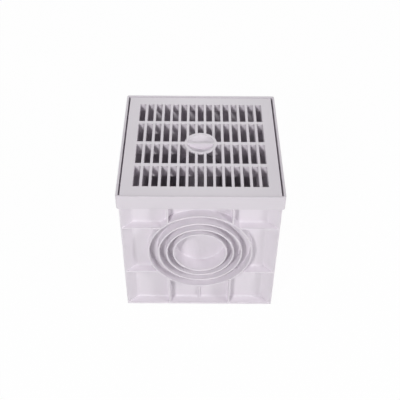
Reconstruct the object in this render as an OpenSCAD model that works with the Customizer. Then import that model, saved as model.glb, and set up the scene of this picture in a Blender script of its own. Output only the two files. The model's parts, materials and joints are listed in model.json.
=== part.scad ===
// Square gully trap for rain water: a ribbed chamber with nested pipe sockets on its four
// walls, a frame that caps it, a lift-out slotted grate and a push-in trap bend.
// Millimetres, +Z up. The origin is the centre of the underside. The outlet is on +Y.

/* [Chamber] */
// Width of the square chamber, over its wall ribs
body_w = 191; // [180:1:240]
// Height from the floor to the top of the frame
total_h = 200; // [190:1:300]
// Depth of the wall pockets, from the rib edges back to the wall
pocket_depth = 12; // [10:0.5:15]
// Thickness of the chamber walls
wall_t = 2.6; // [2:0.1:4]
// Thickness of the chamber floor
floor_t = 2.6; // [2:0.1:5]
// Thickness of the flange that carries the frame
flange_t = 2.6; // [2:0.1:4]
// Thickness of the wall ribs and corner webs
rib_t = 2; // [1.6:0.1:4]
// Distance of the upright wall ribs from the middle of a wall
rib_x = 39; // [30:1:50]
// Height of the lower level rib
rib_low_z = 64.5; // [45:0.5:80]
// Height of the upper level rib
rib_high_z = 144.5; // [125:0.5:155]
// How far the short rib under each socket stands out of its pocket
stub_rib_h = 2.5; // [1.5:0.5:8]

/* [Sockets] */
// Outside diameter of the smallest pipe
pipe_1 = 63; // [60:1:66]
// Outside diameter of the second pipe
pipe_2 = 80; // [78:1:84]
// Outside diameter of the third pipe
pipe_3 = 100; // [98:1:106]
// Outside diameter of the largest pipe
pipe_4 = 125; // [122:1:128]
// Play between a pipe and its collar, on the diameter
pipe_play = 0.6; // [0.3:0.1:0.9]
// Wall thickness of the collars
collar_t = 2; // [1.8:0.1:3]
// Height of the socket centres above the floor's underside
socket_z = 101; // [95:0.5:105]
// Depth of the smallest collar, from rim to membrane
socket_depth = 20; // [17:0.5:24]
// Thickness of the knock-out membranes
membrane_t = 2.2; // [1.5:0.1:3]

/* [Frame] */
// Height of the frame's skirt
skirt_h = 20; // [18:0.5:26]
// Thickness of the skirt where it hangs over the chamber
skirt_t = 2.2; // [1.6:0.1:3]
// Play between the skirt and the chamber's flange, on each side
frame_play = 0.3; // [0.2:0.1:0.6]
// Width of the frame's rim around the grate
rim_t = 2.6; // [2:0.1:4]
// Thickness of the ledge that the grate stands on
ledge_t = 2.5; // [2:0.1:4]
// Radius of the frame's outer corners
frame_corner_r = 2.5; // [1:0.5:6]

/* [Grate] */
// Gap between the grate and the frame, at the left and right
grate_gap = 1.9; // [0.8:0.1:3]
// Gap between the grate and the frame, at the front and back
grate_end_gap = 0.6; // [0.4:0.1:2]
// How far the grate lies below the frame's rim
grate_recess = 1; // [0:0.1:2]
// Height of the grate's outer rim, from its foot to its top
grate_h = 10.5; // [9:0.5:14]
// Thickness of the grate's flat border
plate_t = 3.5; // [2.5:0.1:5]
// Thickness of the grate's downward walls
grate_wall_t = 2.5; // [2:0.1:4]
// Width of a slot
slot_w = 7.4; // [5:0.1:8]
// Length of a slot
slot_l = 35.5; // [30:0.5:50]
// Width of a bar between two slots, at the top
bar_w = 3.4; // [2.8:0.1:5]
// Width of the cross bars between the rows of slots
cross_w = 5.5; // [4:0.1:8]
// Depth of the deep bars and the cross bars
deep_bar_h = 16.5; // [11:0.5:18]
// Depth of the shallow bars
shallow_bar_h = 8; // [5:0.5:10]
// Draft of a bar: how much each side leans in towards its foot
bar_draft = 0.4; // [0:0.1:0.8]

/* [Finger grip] */
// Outside diameter of the grip cup
grip_d = 40.5; // [34:0.5:46]
// Width of the cup's rim
grip_rim = 3.4; // [2.4:0.1:4.4]
// Depth of the dish
dish_depth = 8; // [6:0.5:10]
// Thickness of the cup under the dish
cup_t = 2.4; // [2:0.1:3]
// Thickness of the bar across the dish
grip_bar_t = 3; // [2:0.1:4]

/* [Trap bend] */
// Outside diameter of the trap bend
bend_d = 56; // [50:0.5:58]
// Wall thickness of the trap bend
bend_wall_t = 2.4; // [1.8:0.1:3]
// Radius of the bend, on its centre line
bend_r = 34; // [32:1:38]
// Length of the straight tail between the bend and the outlet's membrane
tail_l = 18; // [16:1:24]
// Length of the collar that holds the tail
tail_collar_l = 12; // [8:1:14]
// Play between the tail and its collar, on each side
tail_play = 0.3; // [0.2:0.1:0.5]
// Height of the bend's open foot above the underside
foot_z = 22; // [14:1:40]
// Thickness of the stop bead on the tail
bead_t = 2.4; // [2:0.1:3]

/* [Hidden] */

plastic = [0.85, 0.82, 0.86];
sides = [0, 90, 180, 270];
outlet_turn = 180;
eps = 0.01;
round_fn = 96;
small_fn = 32;

pipes = [pipe_1, pipe_2, pipe_3, pipe_4];
collar_r = [for (pipe = pipes) (pipe + pipe_play) / 2];
outer_collar_r = collar_r[3] + collar_t;

wall_w = body_w - 2 * pocket_depth;
chamber_w = wall_w - 2 * wall_t;
frame_inner_w = body_w + 2 * frame_play;
frame_w = frame_inner_w + 2 * skirt_t;
grate_w = frame_w - 2 * rim_t - 2 * grate_gap;
grate_l = frame_w - 2 * rim_t - 2 * grate_end_gap;

grate_top = total_h - grate_recess;
seat_z = grate_top - grate_h;
body_top = seat_z - ledge_t;

slot_pitch = slot_w + bar_w;
row_pitch = slot_l + cross_w;
columns = floor((chamber_w + bar_w) / slot_pitch);
rows = floor((chamber_w + cross_w) / row_pitch);
field_x = columns * slot_pitch - bar_w;
field_y = rows * row_pitch - cross_w;
below_seat_play = 1.5;

dish_a = grip_d / 2 - grip_rim;
dish_r = (dish_a * dish_a + dish_depth * dish_depth) / (2 * dish_depth);
cup_side_h = 1.6;
cup_h = dish_depth + cup_t;
cup_drop = cup_h - cup_side_h;
cup_r = (grip_d * grip_d / 4 + cup_drop * cup_drop) / (2 * cup_drop);

membrane_y = body_w / 2 - socket_depth - membrane_t;
bend_bore_r = bend_d / 2 - bend_wall_t;
tail_bore_r = bend_d / 2 + tail_play;

// A square block centred on the Z axis, from z0 up to z1.
module block(w, z0, z1, depth = 0) {
    d = depth > 0 ? depth : w;
    translate([-w / 2, -d / 2, z0]) cube([w, d, z1 - z0]);
}

// A square block with round upright edges.
module round_block(w, r, z0, z1) {
    block(w - 2 * r, z0, z1, w);
    block(w, z0, z1, w - 2 * r);
    for (x = [-1, 1], y = [-1, 1])
        translate([x * (w / 2 - r), y * (w / 2 - r), z0])
            cylinder(r = r, h = z1 - z0, $fn = small_fn);
}

// A flat square ring.
module square_ring(outer, inner, z0, z1) {
    difference() {
        block(outer, z0, z1);
        block(inner, z0 - 1, z1 + 1);
    }
}

// Turns a child that is made at a wall's middle, with Z pointing out of the wall.
module at_wall(turn) {
    rotate(turn) translate([0, -body_w / 2, socket_z]) rotate([90, 0, 0]) children();
}

// Upright ribs of one wall, with the short one under the socket; the collar cuts through them later.
module wall_ribs() {
    reach = pocket_depth + wall_t / 2;
    for (x = [-rib_x, rib_x])
        translate([x - rib_t / 2, -body_w / 2, floor_t / 2])
            cube([rib_t, reach, body_top - flange_t / 2 - floor_t / 2]);
    translate([-rib_t / 2, -wall_w / 2 - stub_rib_h, floor_t / 2])
        cube([rib_t, stub_rib_h + wall_t / 2, socket_z - floor_t / 2]);
}

// A web along one upright edge, from the chamber's corner out to the corner of the flanges.
module corner_web() {
    outer = body_w / 2;
    inner = wall_w / 2 - wall_t / 2;
    lean = rib_t / sqrt(2);
    translate([0, 0, floor_t / 2])
        linear_extrude(body_top - flange_t / 2 - floor_t / 2)
            polygon([
                [inner - lean, inner], [inner, inner - lean],
                [outer, outer - lean], [outer, outer], [outer - lean, outer]
            ]);
}

// The nested collars of one wall, revolved in one piece. The gaps between them end at the wall, and
// the smallest collar goes on inwards as a cup, which a knock-out membrane closes.
module socket() {
    gap_floor = -pocket_depth;
    cup_wall_r = collar_r[0] + collar_t;
    comb = [
        for (i = [3:-1:0])
            each [
                [collar_r[i] + collar_t, i == 3 ? gap_floor - wall_t : gap_floor],
                [collar_r[i] + collar_t, 0], [collar_r[i], 0],
                [collar_r[i], i == 0 ? -socket_depth : gap_floor]
            ]
    ];
    cup = [
        [0, -socket_depth], [0, -socket_depth - membrane_t],
        [cup_wall_r, -socket_depth - membrane_t], [cup_wall_r, gap_floor - wall_t]
    ];
    rotate_extrude($fn = round_fn) polygon(concat(cup, comb));
}

// The outlet's socket: its inner membrane is open, with a collar behind for the trap bend.
module outlet_socket() {
    difference() {
        union() {
            socket();
            translate([0, 0, -socket_depth - membrane_t - tail_collar_l])
                cylinder(r = tail_bore_r + collar_t, h = tail_collar_l + membrane_t / 2, $fn = round_fn);
        }
        translate([0, 0, -socket_depth - membrane_t - tail_collar_l - 1])
            cylinder(r = tail_bore_r, h = tail_collar_l + 1, $fn = round_fn);
        translate([0, 0, -socket_depth - membrane_t - 1])
            cylinder(r = bend_bore_r, h = membrane_t + 2, $fn = round_fn);
    }
}

module body() {
    color(plastic) {
        difference() {
            union() {
                block(body_w, 0, floor_t);
                square_ring(wall_w, chamber_w, floor_t / 2, body_top);
                square_ring(body_w, chamber_w, body_top - flange_t, body_top);
                for (z = [rib_low_z, rib_high_z])
                    square_ring(body_w, wall_w - wall_t, z - rib_t / 2, z + rib_t / 2);
                for (turn = sides) {
                    rotate(turn) wall_ribs();
                    rotate(turn) corner_web();
                }
            }
            for (turn = sides)
                at_wall(turn)
                    translate([0, 0, -pocket_depth - wall_t - 1])
                        cylinder(r = collar_r[3] + collar_t / 2, h = pocket_depth + wall_t + 2,
                                 $fn = round_fn);
        }
        for (turn = sides)
            at_wall(turn)
                if (turn == outlet_turn) outlet_socket();
                else socket();
    }
}

module frame() {
    color(plastic)
        difference() {
            round_block(frame_w, frame_corner_r, total_h - skirt_h, total_h);
            block(frame_inner_w, total_h - skirt_h - 1, body_top);
            block(chamber_w, body_top - 1, seat_z + 1);
            block(frame_w - 2 * rim_t, seat_z, total_h + 1);
        }
}

// A bar along Y with draft on both sides; its top is at z = 0.
module bar(l, w, h) {
    rotate([90, 0, 0])
        linear_extrude(l, center = true)
            polygon([[-w / 2, 0], [w / 2, 0], [w / 2 - bar_draft, -h], [bar_draft - w / 2, -h]]);
}

// Deep and shallow bars take turns, counted from each side towards the middle column.
function is_deep(i) = min(i, columns - i) % 2 == 1;

module grate_bars() {
    for (i = [1:columns - 1])
        translate([i * slot_pitch - field_x / 2 - bar_w / 2, 0, 0])
            bar(field_y + 2 * eps, bar_w, is_deep(i) ? deep_bar_h : shallow_bar_h);
    for (j = [1:rows - 1])
        translate([0, j * row_pitch - field_y / 2 - cross_w / 2, 0])
            rotate(90) bar(field_x + 2 * eps, cross_w, deep_bar_h);
}

// The bars, kept clear of the chamber's walls where they reach below the seat.
module fitted_bars() {
    intersection() {
        translate([0, 0, grate_top]) grate_bars();
        union() {
            block(field_x + 1, seat_z, grate_top, field_y + 1);
            block(chamber_w - 2 * below_seat_play, seat_z - 20, seat_z + 1);
        }
    }
}

// The finger cup: a dish with a bar across it.
module grip_cup() {
    difference() {
        intersection() {
            translate([0, 0, -cup_h]) cylinder(d = grip_d, h = cup_h, $fn = round_fn);
            translate([0, 0, cup_r - cup_h]) sphere(r = cup_r, $fn = round_fn);
        }
        translate([0, 0, dish_r - dish_depth]) sphere(r = dish_r, $fn = round_fn);
    }
    intersection() {
        translate([-grip_d / 2, -grip_bar_t / 2, -dish_depth - cup_t / 2])
            cube([grip_d, grip_bar_t, dish_depth + cup_t / 2]);
        translate([0, 0, -cup_h]) cylinder(d = grip_d - grip_rim, h = cup_h, $fn = round_fn);
    }
}

module grate() {
    color(plastic) {
        difference() {
            union() {
                difference() {
                    block(grate_w, grate_top - plate_t, grate_top, grate_l);
                    block(field_x, seat_z, total_h + 1, field_y);
                }
                difference() {
                    block(grate_w, seat_z, grate_top - plate_t / 2, grate_l);
                    block(grate_w - 2 * grate_wall_t, seat_z - 1, grate_top + 1,
                          grate_l - 2 * grate_wall_t);
                }
                difference() {
                    block(field_x + 2 * grate_wall_t, seat_z, grate_top - plate_t / 2,
                          field_y + 2 * grate_wall_t);
                    block(field_x, seat_z - 1, grate_top + 1, field_y);
                }
                fitted_bars();
            }
            translate([0, 0, grate_top - 30])
                cylinder(d = grip_d - grip_rim, h = 40, $fn = round_fn);
        }
        translate([0, 0, grate_top]) grip_cup();
    }
}

module trap_bend() {
    turn_y = membrane_y - tail_l;
    leg_y = turn_y - bend_r;
    turn_z = socket_z - bend_r;
    color(plastic) {
        // tail
        translate([0, membrane_y, socket_z]) rotate([90, 0, 0])
            difference() {
                union() {
                    cylinder(d = bend_d, h = tail_l, $fn = round_fn);
                    translate([0, 0, tail_collar_l])
                        cylinder(r = tail_bore_r + collar_t, h = bead_t, $fn = round_fn);
                }
                translate([0, 0, -1]) cylinder(r = bend_bore_r, h = tail_l + 2, $fn = round_fn);
            }
        // quarter bend
        translate([0, turn_y, turn_z]) rotate([0, 90, 0]) rotate([0, 0, 180])
            rotate_extrude(angle = 90, $fn = round_fn)
                translate([bend_r, 0]) difference() {
                    circle(d = bend_d, $fn = round_fn);
                    circle(r = bend_bore_r, $fn = round_fn);
                }
        // leg
        translate([0, leg_y, foot_z])
            difference() {
                cylinder(d = bend_d, h = turn_z - foot_z, $fn = round_fn);
                translate([0, 0, -1])
                    cylinder(r = bend_bore_r, h = turn_z - foot_z + 2, $fn = round_fn);
            }
    }
}

body();
frame();
grate();
trap_bend();
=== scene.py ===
# %% [markdown]
# # A square gully trap in moulded plastic
#
# The object is a rain-water gully: a ribbed chamber with nested pipe collars, a frame that caps it, a
# slotted grate that lifts out, and a push-in bend inside that keeps the water seal. The CAD model gives
# all four at their real size. This lesson gives them the soft edges and the satin finish of
# injection-moulded polypropylene, then lights them as a small studio would.
#
# The first step loads the model.

import json
import math

import bmesh
import bpy
from mathutils import Matrix, Vector


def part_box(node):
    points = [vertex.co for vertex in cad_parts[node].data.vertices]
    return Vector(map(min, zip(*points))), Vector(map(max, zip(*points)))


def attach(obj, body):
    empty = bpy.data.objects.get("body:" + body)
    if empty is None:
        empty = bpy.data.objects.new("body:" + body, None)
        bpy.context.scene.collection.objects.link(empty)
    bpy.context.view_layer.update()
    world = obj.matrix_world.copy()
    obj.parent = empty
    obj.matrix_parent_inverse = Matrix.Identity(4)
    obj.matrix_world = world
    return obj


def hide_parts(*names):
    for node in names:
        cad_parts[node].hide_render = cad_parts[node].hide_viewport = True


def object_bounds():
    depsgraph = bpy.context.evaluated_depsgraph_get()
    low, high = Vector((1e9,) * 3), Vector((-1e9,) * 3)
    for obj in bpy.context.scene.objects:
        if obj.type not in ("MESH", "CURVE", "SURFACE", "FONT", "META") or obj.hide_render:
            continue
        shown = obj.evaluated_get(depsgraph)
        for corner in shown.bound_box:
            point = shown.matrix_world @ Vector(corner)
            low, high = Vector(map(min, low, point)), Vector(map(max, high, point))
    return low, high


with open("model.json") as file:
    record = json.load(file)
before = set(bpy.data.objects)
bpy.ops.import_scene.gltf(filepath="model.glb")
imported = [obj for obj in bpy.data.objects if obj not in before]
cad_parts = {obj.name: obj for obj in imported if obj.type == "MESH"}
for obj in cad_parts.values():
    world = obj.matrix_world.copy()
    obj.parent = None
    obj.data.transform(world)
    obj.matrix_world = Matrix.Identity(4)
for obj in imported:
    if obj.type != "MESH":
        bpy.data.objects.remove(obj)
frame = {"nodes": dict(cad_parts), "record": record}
cad_low, cad_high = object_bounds()
MM = 0.001
print("CAD box in mm:", [round(v / MM, 1) for v in (cad_high - cad_low)])

# %% [markdown]
# ## The camera
#
# A small product is shown from a few of its own lengths away through a longish lens, so that its upright
# edges lean only a little. The camera stands a metre off, in front and above, and looks down at
# 44 degrees, so the grate and the front wall share the view. A Track To constraint would aim it with less
# typing, but three plain rotations (yaw, pitch and roll) also give the slight tilt of a real tripod.

# %% Place the camera
CAMERA_PLACE = Vector((-0.0056, -0.6840, 0.7606))
CAMERA_PITCH = 43.97
CAMERA_YAW = -0.464
CAMERA_ROLL = 0.708
CAMERA_LENS = 64.006


def turn(degrees, axis):
    return Matrix.Rotation(math.radians(degrees), 4, axis)


camera = bpy.data.objects.new("camera", bpy.data.cameras.new("camera"))
camera.data.sensor_width = 36
camera.data.lens = CAMERA_LENS
camera.matrix_world = (
    Matrix.Translation(CAMERA_PLACE)
    @ turn(CAMERA_YAW, "Z")
    @ turn(90 - CAMERA_PITCH, "X")
    @ turn(CAMERA_ROLL, "Z")
)
bpy.context.scene.collection.objects.link(camera)
bpy.context.scene.camera = camera
print("camera at", [round(v, 3) for v in camera.matrix_world.translation])

# %% [markdown]
# ## Soft edges
#
# A mould can't make a perfectly sharp edge: every rib, rim and slot has a small radius that catches the
# light, and every inner corner is filled a little, so that the plastic flows round it. The CAD solids are
# sharp. A Bevel modifier that reads a weight on each edge was chosen, because one modifier then rounds
# the thin rims finely and the creases of the wall pockets broadly, and joins the two cleanly where they
# meet. A Bevel node in the shader would cost no faces, but the exported mesh would stay sharp.
#
# ### A clean copy first
#
# A CAD mesh is loose triangles. They are merged into whole faces before the bevel, but a flat face with
# holes can't be one polygon, and Blender would leave stray edges from corner to corner, where a bevel
# runs askew. So the copy is first cut straight across its holes, and the cuts are kept as seams. Every
# slot, pocket and ring then opens on a cut that meets its edge squarely.

# %% Copy a CAD piece, cut it across its holes and merge its triangles
# Points closer than this are one, and faces that turn less than this are one flat face.
SAME_POINT = 0.02 * MM
SAME_FLAT_FACE = math.radians(0.4)
# A point this close to a cut lies on it.
ON_THE_CUT = 0.01 * MM


def merged_copy(node, cuts_x, cuts_y):
    work = bmesh.new()
    work.from_mesh(frame["nodes"][node].data)
    bmesh.ops.remove_doubles(work, verts=work.verts, dist=SAME_POINT)
    planes = [((x, 0, 0), (1, 0, 0)) for x in cuts_x] + [((0, y, 0), (0, 1, 0)) for y in cuts_y]
    for place, normal in planes:
        cut = bmesh.ops.bisect_plane(
            work,
            geom=list(work.verts) + list(work.edges) + list(work.faces),
            dist=ON_THE_CUT,
            plane_co=Vector(place) * MM,
            plane_no=normal,
        )
        for part in cut["geom_cut"]:
            if isinstance(part, bmesh.types.BMEdge):
                part.seam = True
    bmesh.ops.dissolve_limit(
        work,
        angle_limit=SAME_FLAT_FACE,
        verts=work.verts,
        edges=work.edges,
        delimit={"SEAM"},
    )
    return work


# %% [markdown]
# ### A radius for each edge
#
# A moulding has a handful of radii, and each has its place. The outer edge of a rib or rim has the
# smallest one. An inner corner is filled a little more. Where a rib grows out of the wall at the back of
# a pocket, the fill is broad, and the bottom of the innermost pipe cup has a fillet of its own. Setting
# them by hand would take hours, so each edge is sorted by how it folds and by the face it lies in.
#
# A round also needs room. Where the narrower face beside an edge is too slim for the radius, the bevel
# would fold the mesh over itself, so that edge stays sharp. The underside of the grate stays sharp too:
# its bars meet the finger cup at a slant there, and nobody sees it. All sizes below are in millimetres.

# %% Find the wall, the cup and the hidden underside
POCKET_DEPTH = 12
CUP_DEPTH = 20
IN_THE_FACE = 0.05
WALL_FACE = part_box("body")[1].x / MM - POCKET_DEPTH
CUP_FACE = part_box("body")[1].x / MM - CUP_DEPTH


def lies_in(edge, face):
    return any(
        all(abs(abs(v.co[axis] / MM) - face) < IN_THE_FACE for v in edge.verts) for axis in (0, 1)
    )


GRATE_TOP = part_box("grate")[1].z / MM
ONLY_FEET_BELOW = 10
ONLY_CUP_BELOW = 2
INSIDE_CUP_RIM = 19.5


def lies_under_grate(edge):
    middle = (edge.verts[0].co + edge.verts[1].co) / 2 / MM
    depth = GRATE_TOP - middle.z
    under_cup = depth > ONLY_CUP_BELOW and math.hypot(middle.x, middle.y) < INSIDE_CUP_RIM
    return depth > ONLY_FEET_BELOW or under_cup


print("wall at", round(WALL_FACE, 2), "cup at", round(CUP_FACE, 2), "grate's top at", round(GRATE_TOP, 2))

# %% Choose the radius
SHARP_TURN = math.radians(30)
# Past this breadth and length, a face at the back of a pocket has room for the broad fill.
BROAD = 5
# A round may take this share of the narrower face beside it.
ROOM = 0.45


def radius_of(edge, rim, corner, crease, cup):
    fold = edge.calc_face_angle_signed(0) if edge.is_manifold else 0
    if abs(fold) < SHARP_TURN:
        return 0
    length = edge.calc_length()
    breadth = min(face.calc_area() for face in edge.link_faces) / length / MM
    if fold > 0:
        radius = rim
    elif lies_in(edge, CUP_FACE):
        radius = cup
    elif lies_in(edge, WALL_FACE) and breadth > BROAD and length > BROAD * MM:
        radius = crease
    else:
        radius = corner
    return radius if radius < ROOM * breadth else 0


# %% [markdown]
# ### The bevel itself
#
# The modifier has one width, the widest radius, and a weight is the share of it that an edge gets. The
# faces are shaded smooth, so that each round runs from one flat to the next without a step. Two things
# keep the flats flat under that shading: Weighted Normal lets the large faces decide, and every edge that
# gets no round is marked sharp, or its light would bleed across the thin bars of the grate.
#
# The new piece rides on the model's one rigid body and stands in for its CAD node, which stays behind for
# collisions, hidden.

# %% Bevel a piece by weight
WIDEST = 2.6
STEPS_IN_A_ROUND = 3


def soften(piece):
    bevel = piece.modifiers.new("soft edges", "BEVEL")
    bevel.limit_method = "WEIGHT"
    bevel.offset_type = "OFFSET"
    bevel.width = WIDEST * MM
    bevel.segments = STEPS_IN_A_ROUND
    bevel.profile = 0.5
    bevel.use_clamp_overlap = False
    bevel.material = -1
    flat = piece.modifiers.new("flat faces stay flat", "WEIGHTED_NORMAL")
    flat.mode = "FACE_AREA"
    flat.weight = 50
    flat.keep_sharp = True


# %% Turn a CAD piece into a moulding
def moulded(node, cuts_x, cuts_y, rim, corner, crease=0, cup=0):
    work = merged_copy(node, cuts_x, cuts_y)
    weight = work.edges.layers.float.new("bevel_weight_edge")
    for edge in work.edges:
        radius = radius_of(edge, rim, corner, crease, cup)
        if node == "grate" and lies_under_grate(edge):
            radius = 0
        edge[weight] = radius / WIDEST
        edge.smooth = radius > 0 or not edge.is_manifold or edge.calc_face_angle() < SHARP_TURN
    mesh = bpy.data.meshes.new(node + "_moulded")
    work.to_mesh(mesh)
    work.free()
    mesh.shade_smooth()
    mesh.materials.clear()
    piece = bpy.data.objects.new(node + "_moulded", mesh)
    bpy.context.scene.collection.objects.link(piece)
    soften(piece)
    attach(piece, "root")
    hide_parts(node)
    print(piece.name, "has", len(mesh.polygons), "faces before its bevel")
    return piece


# %% [markdown]
# ## The four mouldings
#
# - The chamber has thick ribs, so its rims take the largest round, and its pockets and pipe cup have the
#   broad fills. It is cut through its middle, and through the pockets beside the collars.
# - The frame is a thin crisp strip around the grate. One cut each way opens its ring.
# - The grate has sixty slots. A cut along the middle of each column opens all of them. Its bars are too
#   thin for filled corners.
# - The trap bend is a plain tube with a stop bead, halved once.
#
# A cut lies clear of every edge that gets a round, because a round that crosses it would fold.

# %% Mould the chamber, frame, grate and bend
BESIDE_COLLARS = 71
WALL_CUTS = [-BESIDE_COLLARS, 0, BESIDE_COLLARS]
SLOT_WIDTH = 7.4
BAR_WIDTH = 3.4
SLOT_COLUMNS = 15
SLOT_MIDDLES = [
    (column - SLOT_COLUMNS // 2) * (SLOT_WIDTH + BAR_WIDTH) for column in range(SLOT_COLUMNS)
]
pieces = {
    "body": moulded("body", WALL_CUTS, WALL_CUTS, rim=0.7, corner=0.8, crease=2.6, cup=1.4),
    "frame": moulded("frame", [0], [0], rim=0.35, corner=0.8),
    "grate": moulded("grate", SLOT_MIDDLES, [0], rim=0.4, corner=0),
    "trap_bend": moulded("trap_bend", [0], [], rim=0.4, corner=0.8),
}

# %% [markdown]
# ## The plastic
#
# Gullies like this are moulded in polypropylene, coloured a pale cool grey with a touch of violet. The
# mould is lightly blasted, so the skin is satin: highlights are wide and weak, and no reflection has an
# edge. A Principled shader with the plastic's own IOR, 1.49, and a middling roughness gives that.
#
# A single colour would look like paint. Two noise patterns on Object coordinates, which need no unwrapping,
# add what the eye knows as moulded plastic: the slow drift of tone that the flow of the melt leaves, and
# the grain of the blasted mould.

# %% Helpers for colours and nodes
def srgb(code):
    channels = [int(code[i : i + 2], 16) / 255 for i in (1, 3, 5)]
    return [
        c / 12.92 if c <= 0.04045 else ((c + 0.055) / 1.055) ** 2.4 for c in channels
    ] + [1.0]


def add(tree, kind, links=(), **settings):
    node = tree.nodes.new(kind)
    for name, value in settings.items():
        if hasattr(node, name):
            setattr(node, name, value)
        else:
            node.inputs[name.replace("_", " ")].default_value = value
    for source, socket in links:
        tree.links.new(source, node.inputs[socket])
    return node


# %% Satin moulded polypropylene
# It gives the eye a soft, slightly waxy skin: broad dull highlights and no clear reflection.
SATIN = 0.42
PLASTIC_IOR = 1.49
# The melt drifts in tone over about the length of a wall pocket.
FLOW_SIZE = 71.43 * MM
FLOW_DARKENS_TO = 0.97
# The real grain is about 0.1 mm. It is drawn at 0.56 mm, because a finer one wouldn't show up close.
GRAIN_SIZE = 0.5556 * MM
GRAIN_HEIGHT = 0.1 * MM


def polypropylene(name, colour):
    material = bpy.data.materials.new(name)
    material.use_nodes = True
    tree = material.node_tree
    shader = tree.nodes["Principled BSDF"]
    place = add(tree, "ShaderNodeTexCoord").outputs["Object"]
    flow = add(tree, "ShaderNodeTexNoise", [(place, "Vector")], Scale=1 / FLOW_SIZE, Detail=3.0)
    tone = add(tree, "ShaderNodeValToRGB", [(flow.outputs["Fac"], "Fac")])
    dark, light = tone.color_ramp.elements
    dark.position, light.position = 0.3, 0.7
    light.color = srgb(colour)
    dark.color = [c * FLOW_DARKENS_TO for c in srgb(colour)[:3]] + [1.0]
    tree.links.new(tone.outputs["Color"], shader.inputs["Base Color"])
    grain = add(tree, "ShaderNodeTexNoise", [(place, "Vector")], Scale=1 / GRAIN_SIZE, Detail=2.0)
    height = [(grain.outputs["Fac"], "Height")]
    bump = add(tree, "ShaderNodeBump", height, Strength=0.08, Distance=GRAIN_HEIGHT)
    tree.links.new(bump.outputs["Normal"], shader.inputs["Normal"])
    shader.inputs["Roughness"].default_value = SATIN
    shader.inputs["IOR"].default_value = PLASTIC_IOR
    return material


# %% [markdown]
# ### A grey for each moulding, partly painted shade
#
# The four are separate shots from separate moulds, often from different batches of granules, so their
# greys can differ a little. The frame is a touch darker than the grate that lies in it, which parts the two
# to the eye. That darker grey is also painted shade: it evens the frame's open, fully lit skirt with the
# shaded pockets of the chamber. The bend's darker grey is painted shade for the dark chamber seen through
# the slots, and little of it is ever seen.

# %% Finish the pieces
# The bend's dark grey is painted shade for the chamber seen through the slots. The frame's darker grey is
# partly painted shade.
MOULDING_GREYS_AND_PAINTED_SHADE = {"body": "#e7e1e8", "frame": "#dfd9e0", "grate": "#e8e2e9", "trap_bend": "#bfb9c0"}
for entry in frame["record"]["subparts"]:
    node = entry["node"]
    finish = polypropylene(f"moulded_polypropylene_{node}", MOULDING_GREYS_AND_PAINTED_SHADE[node])
    pieces[node].data.materials.append(finish)
    print(pieces[node].name, "is finished in", finish.name, MOULDING_GREYS_AND_PAINTED_SHADE[node])

# %% [markdown]
# ## The lamps
#
# A pale product is lit by small soft boxes set well back: the shadows of the ribs keep a clear direction,
# but their edges stay soft. The key stands at the front left and shapes the collars, and a weaker fill at
# the front right opens their shadows. A larger box behind lights the grate from above and shines through
# the slots. Area lamps were chosen over a sun, because their size sets how soft a shadow is. They are kept
# low enough that the pale plastic never clips to white.

# %% Hang the soft boxes
box_middle = (cad_low + cad_high) / 2


def soft_box(name, azimuth, elevation, distance, size, watts):
    around, up = math.radians(azimuth), math.radians(elevation)
    way = Vector(
        (math.sin(around) * math.cos(up), -math.cos(around) * math.cos(up), math.sin(up))
    )
    lamp = bpy.data.objects.new(name, bpy.data.lights.new(name, "AREA"))
    lamp.data.shape = "SQUARE"
    lamp.data.size = size
    lamp.data.energy = watts
    lamp.location = box_middle + way * distance
    lamp.rotation_euler = way.to_track_quat("Z", "Y").to_euler()
    bpy.context.scene.collection.objects.link(lamp)
    print(name, "hangs", distance, "m away and gives", watts, "W")


soft_box("key", azimuth=-26, elevation=34, distance=2.0, size=0.3, watts=18.9)
soft_box("fill", azimuth=60, elevation=24, distance=2.0, size=0.3, watts=11.6)
soft_box("back", azimuth=180, elevation=35, distance=4.0, size=0.6, watts=24.5)

# %% [markdown]
# ## The world
#
# A catalogue shows such a part on plain white, but a world that shone white would flood every hollow. So
# the Light Path node tells the rays apart: those that come straight from the camera, or by way of a
# reflection or through glass, see white, and those that carry soft light to the plastic see a dim grey.

# %% A white view and a dim soft light
AMBIENT = 0.20


def rays_that_see_white(tree):
    path = add(tree, "ShaderNodeLightPath")
    seen = path.outputs["Is Camera Ray"]
    for ray in ("Is Glossy Ray", "Is Transmission Ray"):
        both = [(seen, 0), (path.outputs[ray], 1)]
        seen = add(tree, "ShaderNodeMath", both, operation="MAXIMUM").outputs[0]
    return seen


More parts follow.
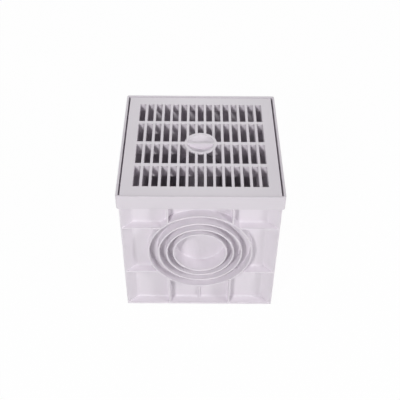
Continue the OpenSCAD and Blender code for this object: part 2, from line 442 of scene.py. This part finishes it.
world = bpy.data.worlds.new("studio")
world.use_nodes = True
bpy.context.scene.world = world
tree = world.node_tree
dim = tree.nodes["Background"]
dim.inputs["Color"].default_value = srgb("#ffffff")
dim.inputs["Strength"].default_value = AMBIENT
white = add(tree, "ShaderNodeBackground", Color=srgb("#ffffff"), Strength=1.0)
choice = [(rays_that_see_white(tree), 0), (dim.outputs[0], 1), (white.outputs[0], 2)]
mix = add(tree, "ShaderNodeMixShader", choice)
tree.links.new(mix.outputs[0], tree.nodes["World Output"].inputs["Surface"])
print("the world is white to see and gives", AMBIENT, "of soft light")

# %% [markdown]
# ## The floor
#
# The part stands on matte white paper. Lit paper is never quite as white as the world behind it, and its
# edge would show. So the paper is plain and matte for the light that it passes on to the object, but to the
# eye it is nearly all glow, with just enough matte left that the shadow at the object's foot stays.

# %% Lay the paper
FLOOR_REACH = 3.0
sheet = bmesh.new()
bmesh.ops.create_grid(sheet, x_segments=1, y_segments=1, size=FLOOR_REACH)
floor_mesh = bpy.data.meshes.new("floor")
sheet.to_mesh(floor_mesh)
sheet.free()
floor = bpy.data.objects.new("floor", floor_mesh)
floor.location.z = cad_low.z
bpy.context.scene.collection.objects.link(floor)
print("floor at", round(floor.location.z, 4), "m,", 2 * FLOOR_REACH, "m wide")

# %% White paper: matte to the light, almost all glow to the eye
GLOW_SHARE = 0.98
MATTE = 0.9
paper = bpy.data.materials.new("white_paper")
paper.use_nodes = True
tree = paper.node_tree
shader = tree.nodes["Principled BSDF"]
shader.inputs["Base Color"].default_value = srgb("#e7e7e7")
shader.inputs["Roughness"].default_value = MATTE
glow = add(tree, "ShaderNodeEmission", Strength=1.0)
matte = add(tree, "ShaderNodeBsdfDiffuse", Color=srgb("#f3f3f3"))
seen_floor = add(tree, "ShaderNodeMixShader", [(matte.outputs[0], 1), (glow.outputs[0], 2)])
seen_floor.inputs[0].default_value = GLOW_SHARE
choice = [(rays_that_see_white(tree), 0), (shader.outputs[0], 1), (seen_floor.outputs[0], 2)]
mix = add(tree, "ShaderNodeMixShader", choice)
tree.links.new(mix.outputs[0], tree.nodes["Material Output"].inputs["Surface"])
floor_mesh.materials.append(paper)
print("the paper glows for", GLOW_SHARE, "of what is seen of it")

# %% [markdown]
# ## The view transform
#
# The Standard view transform shows a colour as it is written. A film-like curve would grey the pale
# plastic.

# %% Set the Standard view transform
bpy.context.scene.view_settings.view_transform = "Standard"
